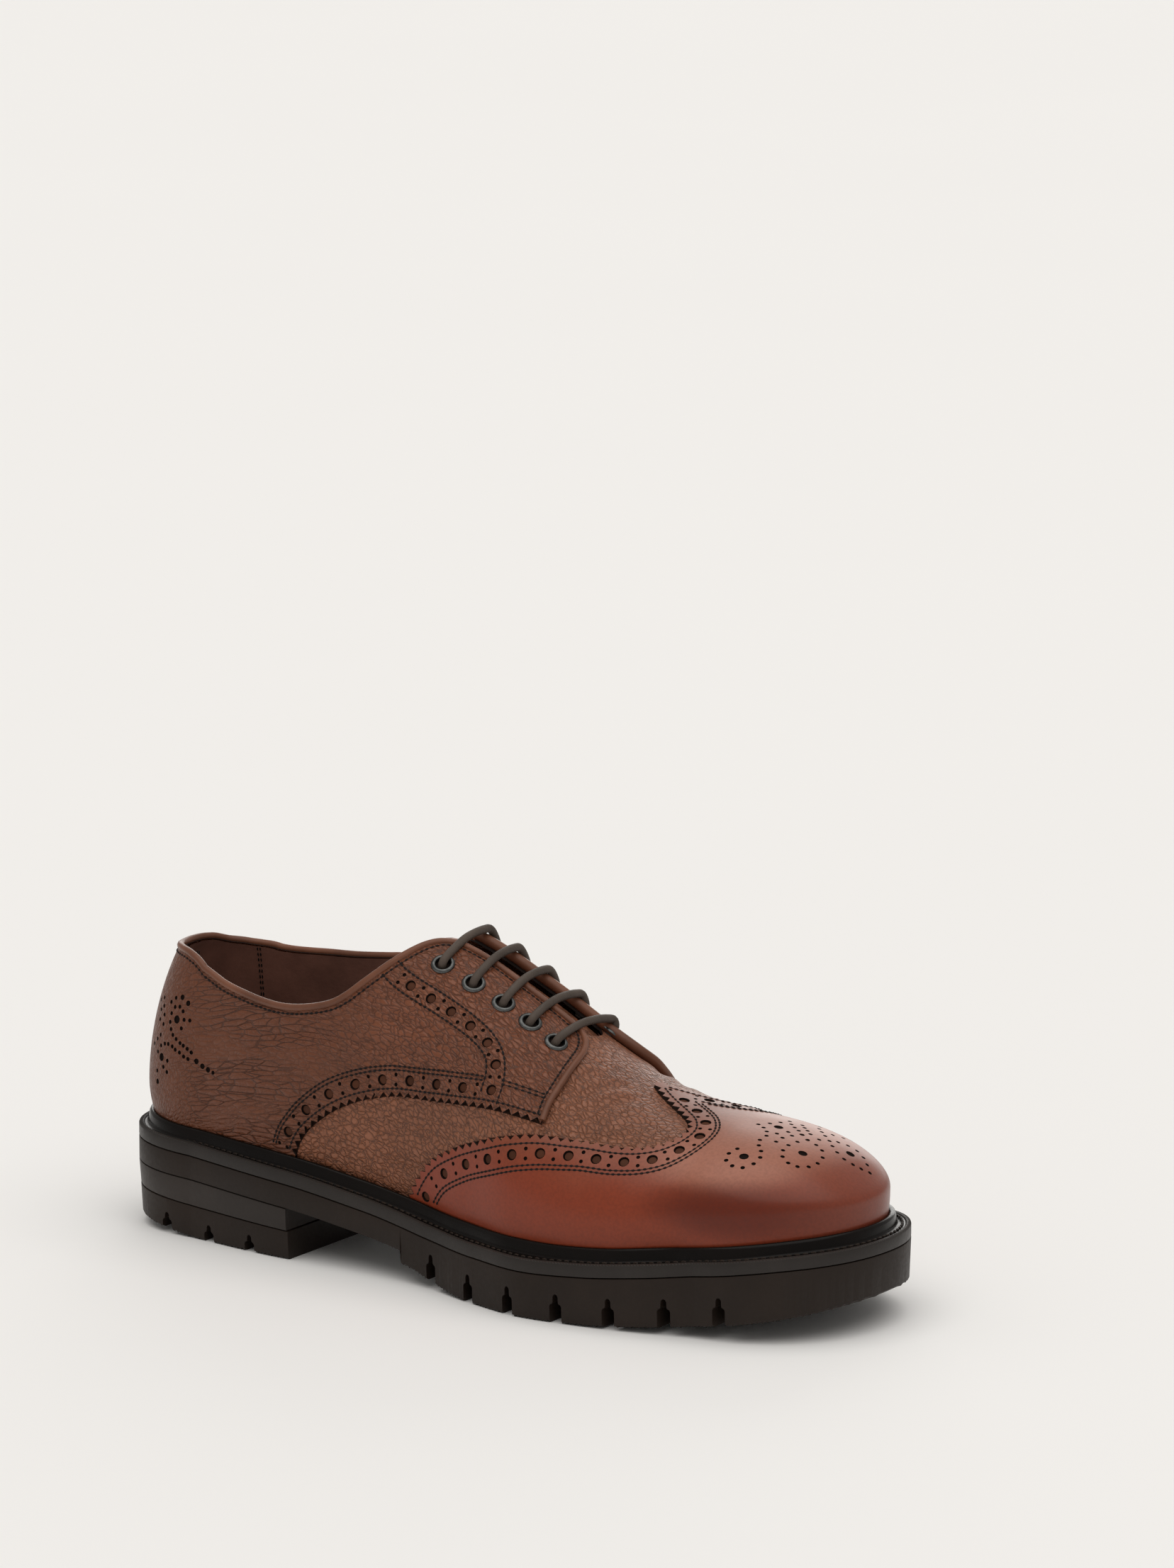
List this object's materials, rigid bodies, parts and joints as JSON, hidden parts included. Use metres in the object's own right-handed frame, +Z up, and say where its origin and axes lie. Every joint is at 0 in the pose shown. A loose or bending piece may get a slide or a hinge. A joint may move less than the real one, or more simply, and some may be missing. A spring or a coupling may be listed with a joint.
{
  "type": "brogue shoe",
  "caption": "Wing-tip derby shoe for the right foot, open and empty, with a storm welt, lugged sole, block heel and laced facings.",
  "frame": {"origin": "centre of the footprint, on the floor", "axes": "+X from heel to toe, -Y to the outer side of the foot, +Z up"},
  "size_m": [0.308, 0.1104, 0.1214],
  "materials": {
    "sole_rubber": "matt dark brown moulded rubber",
    "lift_rubber": "satin charcoal rubber",
    "edge_rubber": "burnished dark grey edge, fine ribs on its top rim",
    "welt_leather": "polished black storm welt with a row of stitches",
    "lining_leather": "smooth brown lining leather",
    "grain_leather": "pebbled dark brown leather with flex creases",
    "cap_leather": "smooth burnished red-brown leather",
    "eyelet_metal": "dark satin metal",
    "lace_cord": "round waxed cord, grey-brown"
  },
  "bodies": {
    "root": {"outsole": "sole_rubber", "heel_lift": "lift_rubber", "heel_top_piece": "sole_rubber", "midsole": "edge_rubber", "welt": "welt_leather", "insole": "lining_leather", "upper": "grain_leather", "quarter_outer": "grain_leather", "quarter_inner": "grain_leather", "wing_cap": "cap_leather", "tongue": "grain_leather", "eyelet_outer_1": "eyelet_metal", "eyelet_outer_2": "eyelet_metal", "eyelet_outer_3": "eyelet_metal", "eyelet_outer_4": "eyelet_metal", "eyelet_outer_5": "eyelet_metal", "eyelet_inner_1": "eyelet_metal", "eyelet_inner_2": "eyelet_metal", "eyelet_inner_3": "eyelet_metal", "eyelet_inner_4": "eyelet_metal", "eyelet_inner_5": "eyelet_metal", "lace_bar_1": "lace_cord", "lace_bar_2": "lace_cord", "lace_bar_3": "lace_cord", "lace_bar_4": "lace_cord", "lace_bar_5": "lace_cord"}
  },
  "joints": []
}
